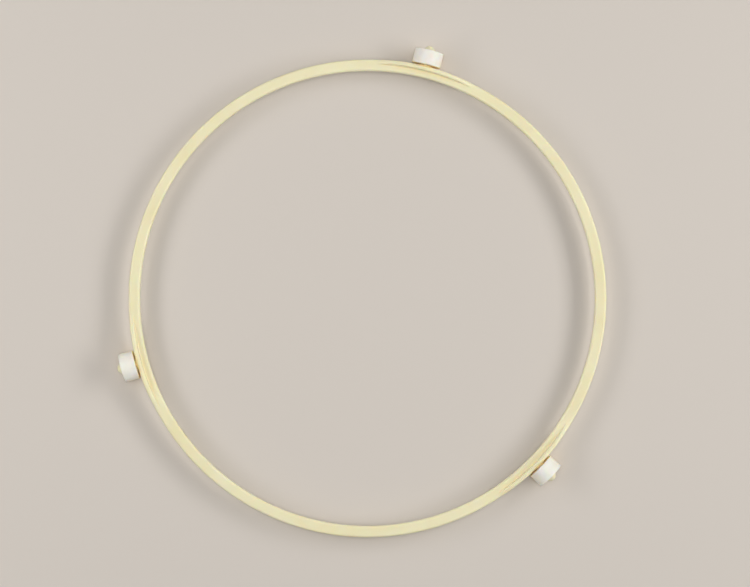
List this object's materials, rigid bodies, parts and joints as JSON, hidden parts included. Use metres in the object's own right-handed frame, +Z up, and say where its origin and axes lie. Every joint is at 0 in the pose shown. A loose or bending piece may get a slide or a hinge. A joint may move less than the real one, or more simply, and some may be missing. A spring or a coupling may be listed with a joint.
{
  "type": "microwave roller ring",
  "caption": "Round plastic turntable support ring with free-turning rollers snapped on stub axles around it; carries a microwave oven's glass tray and lets it rotate.",
  "frame": {"origin": "on the ring's centre line, at the level of the oven floor that the rollers stand on", "axes": "+Z up along the ring's centre line, +X along the axle of roller_1"},
  "size_m": [0.264, 0.253, 0.0153],
  "materials": {
    "ring_plastic": "cream moulded plastic, satin gloss",
    "roller_plastic": "white moulded plastic, slightly matt"
  },
  "bodies": {
    "ring": {"ring": "ring_plastic"},
    "roller_1": {"roller_1": "roller_plastic"},
    "roller_2": {"roller_2": "roller_plastic"},
    "roller_3": {"roller_3": "roller_plastic"}
  },
  "joints": [
    {"name": "roller_1_spin", "type": "hinge", "parent": "ring", "child": "roller_1", "pos_m": [0.13115, 0, 0.00765], "axis": [1, 0, 0], "continuous": true},
    {"name": "roller_2_spin", "type": "hinge", "parent": "ring", "child": "roller_2", "pos_m": [-0.06557, 0.11358, 0.00765], "axis": [-0.5, 0.866, 0], "continuous": true},
    {"name": "roller_3_spin", "type": "hinge", "parent": "ring", "child": "roller_3", "pos_m": [-0.06557, -0.11358, 0.00765], "axis": [-0.5, -0.866, 0], "continuous": true}
  ]
}
